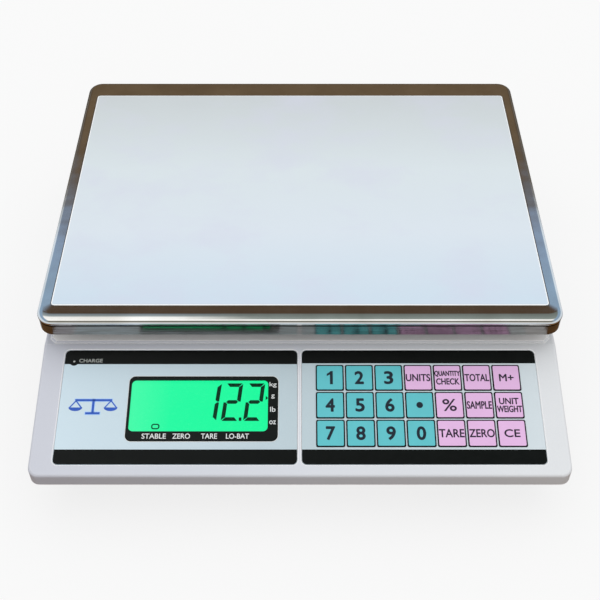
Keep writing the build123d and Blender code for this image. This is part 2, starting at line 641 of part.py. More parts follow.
def key_membrane():
    """Rubber mat with one flat-topped dome under each key."""
    dome_top = KEY_TOP - KEY_THICK - KEY_TRAVEL - 0.1
    dome_foot = -COVER_WALL - 0.2
    dome = Cone(4.5, 2.6, dome_top - dome_foot, align=(Align.CENTER, Align.CENTER, Align.MIN))
    mat = on_panel(KEY_X0 - 3, KEYS_X1 + 3, KEY_S0 - 2, KEYS_S1 + 2, KEY_BOARD_N, -COVER_WALL - 0.1, 1.0)
    domes = []
    for row in range(3):
        for column in range(7):
            x, s = key_corner(column, row)
            domes.append(PANEL * Pos(x + KEY_W / 2, -(s + KEY_H / 2), dome_foot) * dome)
    return joined([mat] + domes)


def key_board():
    """Printed board under the rubber mat, with the tail's connector on its back."""
    back = KEY_BOARD_N - BOARD_SHEET
    board = on_panel(6.0, 147.0, 2.0, 75.6, back, KEY_BOARD_N, 1.5)
    header = on_panel(30, 52, 36, 42, back - 4.2, back, 0.3)
    return board + header


# ---- electronics in the tray --------------------------------------------------------------
def main_board():
    """Main printed board on four posts."""
    half = (BOARD[1] - BOARD[0]) / 2
    return slab(half, BOARD[2], BOARD[3], BOARD_Z, BOARD_TOP, 2.0, x=BOARD[0] + half)


def board_parts():
    """Chips, capacitors, buzzer, plug headers and the charger's heat sink on the main board."""
    z = BOARD_TOP
    headers = (KEYPAD_HEADER, BATTERY_HEADER, CELL_HEADER, POWER_HEADER)
    parts = [slab(8.0, y - 3, y + 3, z, HEADER_TOP, 0.4, x=x) for x, y in headers]
    x, y = DISPLAY_HEADER
    parts += [
        slab(3.0, y - 8, y + 8, z, HEADER_TOP, 0.4, x=x),
        slab(9.0, -84, -66, z, z + 2.6, 0.4, x=78),
        slab(5.0, -84, -73, z, z + 1.8, 0.3, x=52),
        slab(1.5, -72, -56, z, z + 14.0, 0.3, x=118),
        rod(104, -96, z, z + 12.0, 5.0),
        rod(90, -98, z, z + 9.0, 4.0),
        rod(64, -54, z, z + 7.5, 7.0) - rod(64, -54, z + 5, z + 9, 1.2),
        rod(100, -66, z, z + 4.0, 4.5),
    ]
    return Compound(children=parts)


def battery():
    """Sealed 6 V battery on its side, with two blade terminals on its left end."""
    length, width, height = BATTERY
    z0 = FLOOR_TOP + 0.3
    case = slab(length / 2, BATTERY_Y - width / 2, BATTERY_Y + width / 2, z0, z0 + height, 2.0)
    for y in (-24.0, 24.0):
        case += Pos(-length / 2 - 2.5, BATTERY_Y + y, z0 + height - 9) * Box(6.0, 4.8, 0.8)
    return case


def power_leads():
    """Leads to the main board: two from the battery, one each from the switch and the socket."""
    z = FLOOR_TOP + 0.3 + BATTERY[2] - 9
    leads = []
    for k, y in enumerate((BATTERY_Y - 24.0, BATTERY_Y + 24.0)):
        x = -BATTERY[0] / 2 - 6.5
        side_x, cross_y = -84.0 - 5.0 * k, -60.0 - 5.0 * k
        low_z, end_x = 33.0 + 3.0 * k, BATTERY_HEADER[0] - 3.0 + 6.0 * k
        route = [(x, y, z), (side_x, y, z), (side_x, cross_y, z), (30.0, cross_y, low_z)]
        route += [(end_x, BATTERY_HEADER[1] + 6, low_z), (end_x, BATTERY_HEADER[1], HEADER_TOP + 4)]
        route += [(end_x, BATTERY_HEADER[1], HEADER_TOP)]
        sleeve = Pos(x + 1.2, y, z) * Box(5.0, 5.6, 2.4)
        blade = Pos(-BATTERY[0] / 2 - 2.5, y, z) * Box(6.0, 4.8, 0.8)
        leads.append(wire(route, 0.9, 1.5) + sleeve - blade)
    switch_y = HOUSING_BACK - 21.7
    jack_y = HOUSING_BACK - 11.2
    for x, y, end_x in ((ROCKER_X - 5.0, switch_y, 106.0), (JACK_X, jack_y, 98.0)):
        route = [(x, y, REAR_FITTINGS_Z), (x, y - 20, 44), (end_x, 70, 38), (end_x, -20, 36)]
        route += [(end_x, POWER_HEADER[1], 36), (end_x, POWER_HEADER[1], HEADER_TOP)]
        leads.append(wire(route, 0.9, 1.5))
    return Compound(children=leads)


def load_cell_cable():
    """Shielded cable from the load cell's side to the main board."""
    y = PLATTER_Y - CELL_WIDTH / 2
    route = [(-30, y, 40), (-30, y - 14, 40), (-12, y - 40, 34), (40, -30, 34)]
    route += [(CELL_HEADER[0], CELL_HEADER[1], 34), (CELL_HEADER[0], CELL_HEADER[1], HEADER_TOP)]
    return wire(route, 1.5, 2.0)


def board_cables():
    """Flat cable from the keypad board and round cable from the display board."""
    ribbon_x = (KEYPAD_HEADER[0] - 7.0, KEYPAD_HEADER[0] + 7.0)
    slack = [(-123.0, 41.5), (-121.0, 33.0), (-112.0, 31.0), (-103.5, 30.5), (-103.0, HEADER_TOP + 0.3)]
    line = Polyline(*slack)
    strip = extrude(Plane.YZ * make_face(offset(line, 0.25)), (ribbon_x[1] - ribbon_x[0]) / 2, both=True)
    start = PANEL * Pos(-30, -41, -16.6)
    y, z = start.position.Y, start.position.Z
    route = [(-30, y, z), (-30, y + 1, z - 6), (-8, -104, 27), (12, -88, 33)]
    end_x, end_y = DISPLAY_HEADER
    route += [(end_x, end_y, 33), (end_x, end_y, HEADER_TOP)]
    return Compound(children=[Pos(sum(ribbon_x) / 2, 0, 0) * strip, wire(route, 1.4, 2.0)])


# ---- rear fittings ------------------------------------------------------------------------
def power_switch_body():
    """Switch case in the rear wall: a flange outside, a case inside, and two tabs."""
    w, h = ROCKER_CUT[1], ROCKER_CUT[0]
    flange = Pos(ROCKER_X, HOUSING_BACK + 0.6, REAR_FITTINGS_Z) * Box(w + 3.0, 1.2, h + 3.0)
    case = Pos(ROCKER_X, HOUSING_BACK - 7.0, REAR_FITTINGS_Z) * Box(w - 0.4, 14.0, h - 0.4)
    body = flange + case
    body -= Pos(ROCKER_X, HOUSING_BACK - 1.9, REAR_FITTINGS_Z) * Box(w - 3.0, 8.0, h - 3.0)
    for x in (-5.0, 5.0):
        body += Pos(ROCKER_X + x, HOUSING_BACK - 17.5, REAR_FITTINGS_Z) * Box(0.8, 8.0, 4.8)
    low = REAR_FITTINGS_Z - ROCKER_PIN_REACH - 0.1
    high = REAR_FITTINGS_Z + ROCKER_PIN_REACH + 0.1
    return body - rod(ROCKER_X, ROCKER_AXIS_Y, low, high, ROCKER_PIN_R + FIT)


def power_rocker():
    """See-saw key of the power switch, on two pivot pins along an upright axis."""
    w, h = ROCKER_CUT[1] - 4.2, ROCKER_CUT[0] - 4.2
    face = [(-w / 2, 0.8), (0, -0.6), (w / 2, 3.0)]
    back = [(w / 2, -0.2), (1.6, -3.4), (-1.6, -3.4), (-w / 2, -2.2)]
    block = extrude(make_face(Polyline(*face, *back, close=True)), h / 2, both=True)
    low, high = REAR_FITTINGS_Z - ROCKER_PIN_REACH, REAR_FITTINGS_Z + ROCKER_PIN_REACH
    pins = rod(ROCKER_X, ROCKER_AXIS_Y, low, high, ROCKER_PIN_R)
    return Pos(ROCKER_X, HOUSING_BACK + 0.6, REAR_FITTINGS_Z) * block + pins


def dc_jack():
    """Round power socket: a barrel through the rear wall with a centre pin."""
    place = Pos(JACK_X, HOUSING_BACK, REAR_FITTINGS_Z) * Rot(90, 0, 0)
    barrel = place * Pos(0, 0, 4.0) * Cylinder(JACK_R, 14.0)
    collar = place * Pos(0, 0, -0.9) * Cylinder(5.6, 1.8)
    nut = place * Pos(0, 0, COVER_WALL + 1.2) * extrude(RegularPolygon(6.2, 6), 1.2, both=True)
    socket = place * Pos(0, 0, 2.4) * Cylinder(2.8, 8.6)
    pin = place * Pos(0, 0, 3.0) * Cylinder(1.0, 8.0)
    return barrel + collar + nut - socket + pin


# ---- feet and screws ----------------------------------------------------------------------
def foot(x, y):
    """Levelling foot: a scalloped wheel with a threaded stud in the tray's boss."""
    wheel = rod(x, y, 0, FOOT_WHEEL_H, FOOT_R)
    wheel = chamfer(wheel.edges().group_by(Axis.Z)[0], 1.0)
    for k in range(12):
        a = math.radians(30 * k)
        wheel -= rod(x + (FOOT_R + 1.2) * math.cos(a), y + (FOOT_R + 1.2) * math.sin(a), 2.2, 9, 2.4)
    return wheel + rod(x, y, FOOT_WHEEL_H, FOOT_STUD_TOP, FOOT_STUD_R)


def housing_screws():
    """Self-tapping screws from below, through the tray's posts into the cover's posts."""
    return Compound(
        children=[pan_screw(x, y, FLOOR_Z + 8, 1.6, 23.5, 3.2, 2.2, up=-1) for x, y in HOUSING_SCREWS]
    )


# ---- everything ---------------------------------------------------------------------------
def all_nodes():
    """Node name to its shape."""
    nodes = {
        "base_tray": base_tray(),
        "top_cover": top_cover(),
        "display_overlay": display_overlay(),
        "lcd_bezel": lcd_bezel(),
        "lcd_window": lcd_window(),
        "lcd_glass": lcd_glass(),
        "lcd_backlight": lcd_backlight(),
        "display_board": display_board(),
        "charge_led": charge_led(),
        "keypad_overlay": keypad_overlay(),
        "key_membrane": key_membrane(),
        "key_board": key_board(),
        "main_board": main_board(),
        "board_parts": board_parts(),
        "battery": battery(),
        "power_leads": power_leads(),
        "battery_door": battery_door(),
        "load_cell": load_cell(),
        "load_cell_cable": load_cell_cable(),
        "base_plate": base_plate(),
        "base_plate_screws": base_plate_screws(),
        "load_cell_base_screws": load_cell_base_screws(),
        "load_cell_top_screws": load_cell_top_screws(),
        "overload_stop": overload_stop(),
        "pan_support": pan_support(),
        "pan_pads": pan_pads(),
        "platter": platter(),
        "platter_film": platter_film(),
        "board_cables": board_cables(),
        "level_vial": level_vial(),
        "power_switch_body": power_switch_body(),
        "power_rocker": power_rocker(),
        "dc_jack": dc_jack(),
        "housing_screws": housing_screws(),
    }
    for place, (x, y) in FEET.items():
        nodes["foot_" + place] = foot(x, y)
    for row, names in enumerate(KEY_NAMES):
        for column, name in enumerate(names):
            nodes["key_" + name] = key(column, row)
    return nodes


os.makedirs("parts", exist_ok=True)
for node, shape in all_nodes().items():
    export_step(shape, "parts/" + node + ".step")
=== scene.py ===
"""Looks of the counting scale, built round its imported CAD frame. Lengths are in metres."""

import json
import math

import bmesh
import bpy
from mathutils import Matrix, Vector


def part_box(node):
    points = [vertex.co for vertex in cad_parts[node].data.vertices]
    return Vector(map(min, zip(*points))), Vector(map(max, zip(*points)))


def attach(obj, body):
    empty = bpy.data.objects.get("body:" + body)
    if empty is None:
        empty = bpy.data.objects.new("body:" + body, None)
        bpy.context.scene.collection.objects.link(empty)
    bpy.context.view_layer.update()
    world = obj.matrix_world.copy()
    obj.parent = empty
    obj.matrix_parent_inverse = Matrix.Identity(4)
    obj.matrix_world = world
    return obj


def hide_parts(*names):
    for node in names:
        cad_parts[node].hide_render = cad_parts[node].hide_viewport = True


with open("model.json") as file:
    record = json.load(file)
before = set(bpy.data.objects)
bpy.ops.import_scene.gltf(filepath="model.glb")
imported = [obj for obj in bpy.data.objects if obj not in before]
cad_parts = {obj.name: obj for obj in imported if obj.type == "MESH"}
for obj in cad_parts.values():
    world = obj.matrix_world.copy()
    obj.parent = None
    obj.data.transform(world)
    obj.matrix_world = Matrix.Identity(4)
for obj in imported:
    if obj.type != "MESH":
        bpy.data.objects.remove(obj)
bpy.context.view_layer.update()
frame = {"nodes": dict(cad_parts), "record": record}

MM = 0.001

# ---- places on the sloped panel, worked out from the overlays' boxes ----------------------
SLOPE = math.radians(13.68)
OVERLAY_SHEET = 0.8 * MM
DOWN = Vector((0, -math.cos(SLOPE), -math.sin(SLOPE)))
OUT = Vector((0, -math.sin(SLOPE), math.cos(SLOPE)))
keypad_low, keypad_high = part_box("keypad_overlay")
display_low, display_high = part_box("display_overlay")
PANEL_ORIGIN = Vector((0, keypad_high.y - OVERLAY_SHEET * math.sin(SLOPE), keypad_high.z))
PANEL_LENGTH = (keypad_high.y - keypad_low.y - OVERLAY_SHEET * math.sin(SLOPE)) / math.cos(SLOPE) / MM
BAND_TOP = {"display": 10.0, "keypad": 9.4}  # depth of the black bands, in mm
BAND_BOTTOM = 9.8
BAND_CORNER = 3.0
PRINT = 0.03  # thickness of printed ink, in mm
STRIKE_STEP = 0.0005  # height between the strikes of bold lettering, in mm


def at(x, s, n):
    """Point x mm across the panel, s mm down its slope, and n mm out of the overlays' face."""
    return PANEL_ORIGIN + Vector((x * MM, 0, 0)) + DOWN * (s * MM) + OUT * (n * MM)


def panel_extent(node):
    """(left, right, upper, lower, height) of a flat node on the panel, in mm."""
    low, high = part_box(node)
    centre = (low + high) / 2 - PANEL_ORIGIN
    span = (high.y - low.y) / math.cos(SLOPE) / MM
    thick = ((high.z - low.z) / MM - span * math.sin(SLOPE)) / math.cos(SLOPE)
    for _ in range(8):
        span = ((high.y - low.y) / MM - thick * math.sin(SLOPE)) / math.cos(SLOPE)
        thick = ((high.z - low.z) / MM - span * math.sin(SLOPE)) / math.cos(SLOPE)
    s = centre.dot(DOWN) / MM
    return low.x / MM, high.x / MM, s - span / 2, s + span / 2, centre.dot(OUT) / MM + thick / 2


# ---- node trees ---------------------------------------------------------------------------
def linear(r, g, b):
    """Linear colour from 0-255 display values."""
    def channel(c):
        return ((c / 255 + 0.055) / 1.055) ** 2.4 if c > 10 else c / 3294.6

    return channel(r), channel(g), channel(b), 1.0


def shade(color, factor):
    """The colour, lighter or darker."""
    return tuple(min(1.0, c * factor) for c in color[:3]) + (1.0,)


class Tree:
    """Small helper that adds and links shader nodes."""

    def __init__(self, owner):
        owner.use_nodes = True
        self.nodes = owner.node_tree.nodes
        self.links = owner.node_tree.links

    def add(self, kind, inputs=(), **settings):
        node = self.nodes.new(kind)
        for key, value in settings.items():
            setattr(node, key, value)
        for socket, value in dict(inputs).items():
            if isinstance(value, bpy.types.NodeSocket):
                self.links.new(value, node.inputs[socket])
            else:
                node.inputs[socket].default_value = value
        return node

    def noise(self, vector, scale, detail=2.0, roughness=0.5):
        inputs = {"Vector": vector, "Scale": scale, "Detail": detail, "Roughness": roughness}
        return self.add("ShaderNodeTexNoise", inputs).outputs["Fac"]

    def stretch(self, vector, scale):
        return self.add("ShaderNodeMapping", {"Vector": vector, "Scale": scale}).outputs["Vector"]

    def spread(self, value, low, high, from_low=0.3, from_high=0.7):
        inputs = {"Value": value, "From Min": from_low, "From Max": from_high, "To Min": low, "To Max": high}
        return self.add("ShaderNodeMapRange", inputs).outputs["Result"]

    def ramp(self, value, stops):
        node = self.add("ShaderNodeValToRGB", {"Fac": value})
        elements = node.color_ramp.elements
        elements[0].position, elements[0].color = stops[0]
        elements[1].position, elements[1].color = stops[-1]
        for position, color in stops[1:-1]:
            elements.new(position).color = color
        return node.outputs["Color"]

    def mix(self, factor, a, b):
        node = self.add("ShaderNodeMix", data_type="RGBA")
        for socket, value in ((node.inputs[0], factor), (node.inputs[6], a), (node.inputs[7], b)):
            if isinstance(value, bpy.types.NodeSocket):
                self.links.new(value, socket)
            else:
                socket.default_value = value
        return node.outputs[2]

    def math(self, operation, a, b=0.0):
        return self.add("ShaderNodeMath", {0: a, 1: b}, operation=operation).outputs[0]

    def axes(self, vector):
        return self.add("ShaderNodeSeparateXYZ", {"Vector": vector}).outputs

    def soft_edges(self, radius):
        return self.add("ShaderNodeBevel", {"Radius": radius}, samples=6).outputs["Normal"]

    def bump(self, height, strength, distance, normal=None):
        inputs = {"Height": height, "Strength": strength, "Distance": distance}
        if normal is not None:
            inputs["Normal"] = normal
        return self.add("ShaderNodeBump", inputs).outputs["Normal"]


def surface(name, color, rough, metallic=0.0, mottle=0.05, patch=25.0, grain=0.15, grain_size=1500.0,
            rough_spread=0.06, coat=0.0, coat_rough=0.1, specular=0.5, stretch=(1, 1, 1), edge=0.0):
    """Principled material with patchy colour, uneven roughness and a fine bumpy grain."""
    material = bpy.data.materials.new(name)
    tree = Tree(material)
    bsdf = tree.nodes["Principled BSDF"]
    coordinates = tree.add("ShaderNodeTexCoord").outputs["Object"]
    where = tree.stretch(coordinates, stretch)
    patches = tree.noise(where, patch, 4.0)
    tone = tree.ramp(patches, [(0.25, shade(color, 1 - mottle)), (0.75, shade(color, 1 + mottle))])
    tree.links.new(tone, bsdf.inputs["Base Color"])
    smears = tree.noise(where, patch * 4, 3.0)
    tree.links.new(tree.spread(smears, max(0.02, rough - rough_spread), rough + rough_spread),
                   bsdf.inputs["Roughness"])
    fine = tree.noise(where, grain_size, 3.0, 0.6)
    base_normal = tree.soft_edges(edge * MM) if edge else None
    tree.links.new(tree.bump(fine, grain, 0.05 * MM, base_normal), bsdf.inputs["Normal"])
    bsdf.inputs["Metallic"].default_value = metallic
    bsdf.inputs["Specular IOR Level"].default_value = specular
    bsdf.inputs["Coat Weight"].default_value = coat
    bsdf.inputs["Coat Roughness"].default_value = coat_rough
    return material


def parts_of(material):
    """Its helper tree, its shader and its object coordinates."""
    tree = Tree(material)
    return tree, tree.nodes["Principled BSDF"], tree.add("ShaderNodeTexCoord").outputs["Object"]


# ---- the platter's section ----------------------------------------------------------------
ROLL_W, ROLL_H = 3.8 * MM, 3.9 * MM  # rolled edge at the sides and the back
ROLL_FRONT = 6.9 * MM  # the front edge rolls over more gently
ROLL_SWEEP = math.radians(112)  # it runs on past upright and leaves a bead over the skirt
PAN_SHEET = 0.8 * MM
BORDER_DROP = 0.8 * MM
GROOVE = 0.35 * MM
PLATTER_CORNER = 10.5 * MM
SHELF_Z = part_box("top_cover")[1].z
SHELF_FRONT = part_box("platter")[0].y + 5.2 * MM
SKIRT_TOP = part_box("platter")[1].z - BORDER_DROP - ROLL_H + ROLL_H * math.cos(ROLL_SWEEP)

# ---- materials ----------------------------------------------------------------------------
PURE_WHITE = (1, 1, 1, 1)


def cover_plastic():
    """Pale grey moulded plastic with a fine eroded texture, cooler on the left and paler on the right, with
    painted light on the shelf under the pan and painted highlights on its edges.
    """
    material = surface("cover_plastic", linear(214, 217, 221), 0.42, grain=0.22, grain_size=2200.0,
                       specular=0.4, edge=0.5)
    tree, bsdf, where = parts_of(material)
    axes = tree.axes(where)
    wander = tree.math("MULTIPLY", tree.noise(where, 9.0, 3.0), 0.12)
    side = tree.spread(tree.math("ADD", axes["X"], wander), 0.0, 1.0, -0.11, 0.23)
    drift = tree.ramp(side, [(0.0, linear(201, 204, 214)), (0.5, linear(212, 216, 223)),
                             (1.0, linear(222, 225, 228))])
    flecks = tree.spread(tree.noise(where, 900.0, 2.0), 0.0, 0.05)
    body = tree.mix(flecks, drift, linear(180, 184, 190))
    # painted light: the shelf under the pan is painted white to lift the shade that the pan casts on it
    level = tree.spread(axes["Z"], 0.0, 1.0, SHELF_Z - 0.3 * MM, SHELF_Z - 0.05 * MM)
    covered = tree.spread(axes["Y"], 0.0, 1.0, SHELF_FRONT, SHELF_FRONT + 1 * MM)
    body = tree.mix(tree.math("MULTIPLY", level, covered), body, PURE_WHITE)
    # painted highlight: the moulded edges are painted whiter, as if they caught the light
    true_normal = tree.add("ShaderNodeNewGeometry").outputs["Normal"]
    flatness = tree.add("ShaderNodeVectorMath", {0: tree.soft_edges(0.9 * MM), 1: true_normal},
                        operation="DOT_PRODUCT").outputs["Value"]
    edges = tree.spread(flatness, 0.85, 0.0, 0.975, 0.999)
    tree.links.new(tree.mix(edges, body, PURE_WHITE), bsdf.inputs["Base Color"])
    return material


def silver_print(name, left, middle, right, x0, x1):
    """Silver-blue printed film: a soft drift across, fine metallic flecks and a gloss coat."""
    material = surface(name, linear(*middle), 0.34, metallic=0.1, grain=0.08, grain_size=3000.0, coat=0.2,
                       coat_rough=0.12)
    tree, bsdf, where = parts_of(material)
    across = tree.spread(tree.axes(where)["X"], 0.0, 1.0, x0, x1)
    drift = tree.ramp(across, [(0.0, linear(*left)), (0.5, linear(*middle)), (1.0, linear(*right))])
    flecks = tree.spread(tree.noise(where, 2600.0, 1.0), 0.0, 0.12)
    tree.links.new(tree.mix(flecks, drift, linear(240, 246, 250)), bsdf.inputs["Base Color"])
    return material


def polished_steel():
    """Polished stainless steel: faint long scratches, slight waviness, a drawn, duller skirt painted darker
    as painted shade, and a painted shadow line under the bead.
    """
    material = bpy.data.materials.new("polished_steel")
    tree, bsdf, where = parts_of(material)
    bsdf.inputs["Metallic"].default_value = 1.0
    scratches = tree.noise(tree.stretch(where, (8, 900, 900)), 3.0, 3.0)
    clouds = tree.noise(where, 40.0, 3.0)
    bright = tree.ramp(clouds, [(0.3, linear(214, 212, 208)), (0.7, linear(232, 232, 231))])
    brushed = tree.noise(tree.stretch(where, (20, 20, 300)), 3.0, 4.0)
    # painted shade: the skirt gets a far darker steel colour than the top, standing in for the dim
    # reflections it shows
    dull = tree.ramp(brushed, [(0.3, linear(128, 124, 120)), (0.7, linear(160, 158, 156))])
    z = tree.axes(where)["Z"]
    skirt = tree.spread(z, 1.0, 0.0, SKIRT_TOP - 0.3 * MM, SKIRT_TOP + 0.1 * MM)
    shell = tree.mix(skirt, bright, dull)
    # painted shadow: a dark line painted just under the bead, where the shadow gap falls
    above_plain = tree.spread(z, 0.0, 1.0, SKIRT_TOP - 1.5 * MM, SKIRT_TOP - 1.0 * MM)
    bead_shadow_line = tree.math("MULTIPLY", skirt, above_plain)
    tree.links.new(tree.mix(bead_shadow_line, shell, linear(38, 34, 30)), bsdf.inputs["Base Color"])
    sheen = tree.spread(scratches, 0.05, 0.12)
    satin = tree.math("MULTIPLY", skirt, 0.05)
    tree.links.new(tree.math("ADD", sheen, satin), bsdf.inputs["Roughness"])
    wavy = tree.noise(tree.stretch(where, (14, 60, 60)), 1.0, 1.0)
    swell = tree.bump(wavy, 0.25, 0.6 * MM)
    drawn = tree.math("MULTIPLY", skirt, tree.noise(tree.stretch(where, (6, 6, 1400)), 1.0, 2.0))
    lines = tree.bump(drawn, 0.45, 0.12 * MM, swell)
    tree.links.new(tree.bump(scratches, 0.05, 0.02 * MM, lines), bsdf.inputs["Normal"])
    return material


def protective_film():
    """Pale film over the steel: milky, faintly mottled, with a soft sheen."""
    material = bpy.data.materials.new("protective_film")
    tree, bsdf, where = parts_of(material)
    front, back = (corner.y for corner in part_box("platter_film"))
    along = tree.spread(tree.axes(where)["Y"], 0.0, 1.0, front, back)
    drift = tree.ramp(along, [(0.0, linear(200, 217, 231)), (0.3, linear(212, 222, 231)),
                              (0.6, linear(211, 221, 226)), (1.0, linear(197, 204, 207))])
    blots = tree.noise(tree.stretch(where, (1.0, 1.4, 1.0)), 16.0, 4.0, 0.6)
    lilac = tree.mix(tree.spread(blots, 0.0, 0.5, 0.45, 0.75), drift, linear(206, 208, 227))
    tree.links.new(lilac, bsdf.inputs["Base Color"])
    tree.links.new(tree.spread(tree.noise(where, 60.0, 3.0), 0.38, 0.52), bsdf.inputs["Roughness"])
    ripples = tree.bump(tree.noise(tree.stretch(where, (1, 3, 1)), 22.0, 2.0), 0.12, 0.6 * MM)
    tree.links.new(tree.bump(tree.noise(where, 1400.0, 2.0), 0.12, 0.03 * MM, ripples), bsdf.inputs["Normal"])
    bsdf.inputs["Specular IOR Level"].default_value = 0.3
    return material


def lit_display():
    """Green backlit liquid crystal: it glows a little unevenly, brightest near the left edge."""
    material = bpy.data.materials.new("lit_display")
    tree, bsdf, where = parts_of(material)
    left, right = (corner.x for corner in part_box("lcd_glass"))
    across = tree.spread(tree.axes(where)["X"], 0.0, 1.0, left, right)
    glow = tree.ramp(across, [(0.0, linear(72, 252, 172)), (0.3, linear(36, 250, 163)),
                              (1.0, linear(26, 250, 158))])
    clouds = tree.spread(tree.noise(where, 30.0, 3.0), 0.0, 0.12)
    uneven = tree.mix(clouds, glow, linear(70, 252, 172))
    tree.links.new(uneven, bsdf.inputs["Emission Color"])
    tree.links.new(tree.mix(0.96, uneven, linear(4, 34, 18)), bsdf.inputs["Base Color"])
    tree.links.new(tree.spread(tree.noise(where, 400.0), 0.2, 0.3), bsdf.inputs["Roughness"])
    bsdf.inputs["Emission Strength"].default_value = 0.97
    bsdf.inputs["Specular IOR Level"].default_value = 0.1
    return material


def clear_pane():
    """Clear acrylic: lets the display through and adds a thin gloss."""
    material = bpy.data.materials.new("clear_pane")
    tree, bsdf, where = parts_of(material)
    output = tree.nodes["Material Output"]
    smudge = tree.noise(where, 90.0, 4.0)
    tree.links.new(tree.spread(smudge, 0.03, 0.12), bsdf.inputs["Roughness"])
    tree.links.new(tree.ramp(smudge, [(0.3, (0.0, 0.005, 0.004, 1)), (0.7, (0.01, 0.015, 0.012, 1))]),
                   bsdf.inputs["Base Color"])
    clear = tree.add("ShaderNodeBsdfTransparent").outputs[0]
    edge = tree.add("ShaderNodeFresnel", {"IOR": 1.2}).outputs[0]
    share = tree.add("ShaderNodeMixShader", {0: edge, 1: clear, 2: bsdf.outputs[0]})
    tree.links.new(share.outputs[0], output.inputs["Surface"])
    return material


def vial_liquid():
    """Tinted liquid in a clear vial."""
    material = surface("vial_liquid", linear(196, 214, 90), 0.08, mottle=0.06, coat=0.8, coat_rough=0.03)
    material.node_tree.nodes["Principled BSDF"].inputs["Transmission Weight"].default_value = 0.6
    return material


def board_green():
    """Solder mask with traces showing through."""
    material = surface("board_green", linear(24, 92, 48), 0.35, grain=0.1)
    tree, bsdf, where = parts_of(material)
    cells = tree.add("ShaderNodeTexVoronoi", {"Vector": where, "Scale": 260.0}, distance="MANHATTAN")
    traces = tree.spread(cells.outputs["Distance"], 1.0, 0.0, 0.28, 0.32)
    tree.links.new(tree.mix(traces, linear(22, 84, 44), linear(52, 128, 66)), bsdf.inputs["Base Color"])
    return material


KEY_FINISH = {"rough": 0.36, "mottle": 0.03, "patch": 60.0, "grain": 0.1, "coat": 0.15}
RUBBER_FINISH = {"mottle": 0.1, "grain": 0.6, "grain_size": 900.0}
SILVER = ((203, 223, 234), (187, 205, 213), (212, 223, 229))  # left, middle and right of the panel
MATERIALS = {
    "cover_plastic": cover_plastic(),
    "tray_plastic": surface("tray_plastic", linear(168, 168, 172), 0.5, mottle=0.03, grain=0.3, edge=0.5),
    "overlay_print": silver_print("overlay_print", *SILVER, -0.15, 0.15),
    "bezel_black": surface("bezel_black", linear(12, 17, 16), 0.32, mottle=0.2, grain=0.1, specular=0.25),
    "clear_window": clear_pane(),
    "lcd": lit_display(),
    "backlight": surface("backlight", linear(90, 240, 160), 0.3, mottle=0.05),
    "lamp_lens": surface("lamp_lens", linear(176, 178, 174), 0.15, coat=0.5, mottle=0.1),
    "key_teal": surface("key_teal", linear(90, 193, 202), **KEY_FINISH),
    "key_pink": surface("key_pink", linear(226, 182, 226), **KEY_FINISH),
    "silicone": surface("silicone", linear(170, 172, 174), 0.6, grain=0.3),
    "circuit_board": board_green(),
    "electronic_parts": surface("electronic_parts", linear(38, 38, 42), 0.45, mottle=0.15, grain=0.3),
    "battery_case": surface("battery_case", linear(52, 54, 60), 0.45, mottle=0.08, grain=0.35),
    "cable_sheath": surface("cable_sheath", linear(60, 60, 66), 0.45, mottle=0.1, grain=0.2),
    "beam_aluminium": surface("beam_aluminium", linear(205, 206, 208), 0.3, metallic=1.0, grain=0.2,
                              stretch=(0.05, 1, 1)),
    "cast_aluminium": surface("cast_aluminium", linear(176, 178, 181), 0.42, metallic=0.9, mottle=0.1,
                              grain=0.6, grain_size=900.0),
    "zinc_steel": surface("zinc_steel", linear(190, 192, 196), 0.28, metallic=1.0, mottle=0.08, grain=0.2),
    "polished_steel": polished_steel(),
    "film": protective_film(),
    "rubber_pads": surface("rubber_pads", linear(38, 38, 38), 0.7, **RUBBER_FINISH),
    "foot_rubber": surface("foot_rubber", linear(34, 34, 35), 0.65, **RUBBER_FINISH),
    "vial": vial_liquid(),
    "switch_black": surface("switch_black", linear(26, 26, 28), 0.38, mottle=0.1, grain=0.25),
}


def ink(name, color, rough=0.4, mottle=0.1, patch=80.0, grain=0.1, **more):
    """Printed ink."""
    return surface(name, linear(*color), rough, mottle=mottle, patch=patch, grain=grain, **more)


INK_BLACK = ink("ink_black", (8, 11, 10), 0.34, 0.2, 50.0, 0.08, specular=0.2)
INK_GREY = ink("ink_grey", (160, 164, 160), mottle=0.06)
INK_NAVY = ink("ink_navy", (14, 30, 46))
INK_PLUM = ink("ink_plum", (38, 22, 48))
INK_WHITE = ink("ink_white", (222, 226, 226), mottle=0.04)
INK_BLUE = ink("ink_blue", (24, 84, 190), 0.35, 0.12, 90.0, coat=0.2)
INK_PALE_BLUE = ink("ink_pale_blue", (170, 205, 246), 0.35, 0.05, 90.0)
SEGMENT = ink("segment", (10, 62, 38), 0.4, 0.1, 200.0, 0.05, specular=0.1)
# painted shadow: dark ink standing in for the shade in the groove round the film
GAP_SHADOW_INK = ink("painted_gap_shadow", (58, 50, 42), 0.5, 0.3, 60.0, 0.2)
# painted highlight: near-white for the film's raised cut edge, partly its own pale edge and partly light it
# catches
FILM_EDGE_HIGHLIGHT = ink("film_edge_highlight", (250, 252, 254), 0.3, 0.02, coat=0.4)


def dress_cad_nodes():
    """Gives every CAD node the material of its slot."""
    for row in frame["record"]["subparts"]:
        node = frame["nodes"][row["node"]]
        node.data.materials.clear()
        node.data.materials.append(MATERIALS[row["material_slot"]])


def smooth(obj, angle):
    """Smooth shading with sharp edges above the angle, in degrees."""
    obj.data.polygons.foreach_set("use_smooth", [True] * len(obj.data.polygons))
    obj.data.set_sharp_from_angle(angle=math.radians(angle))


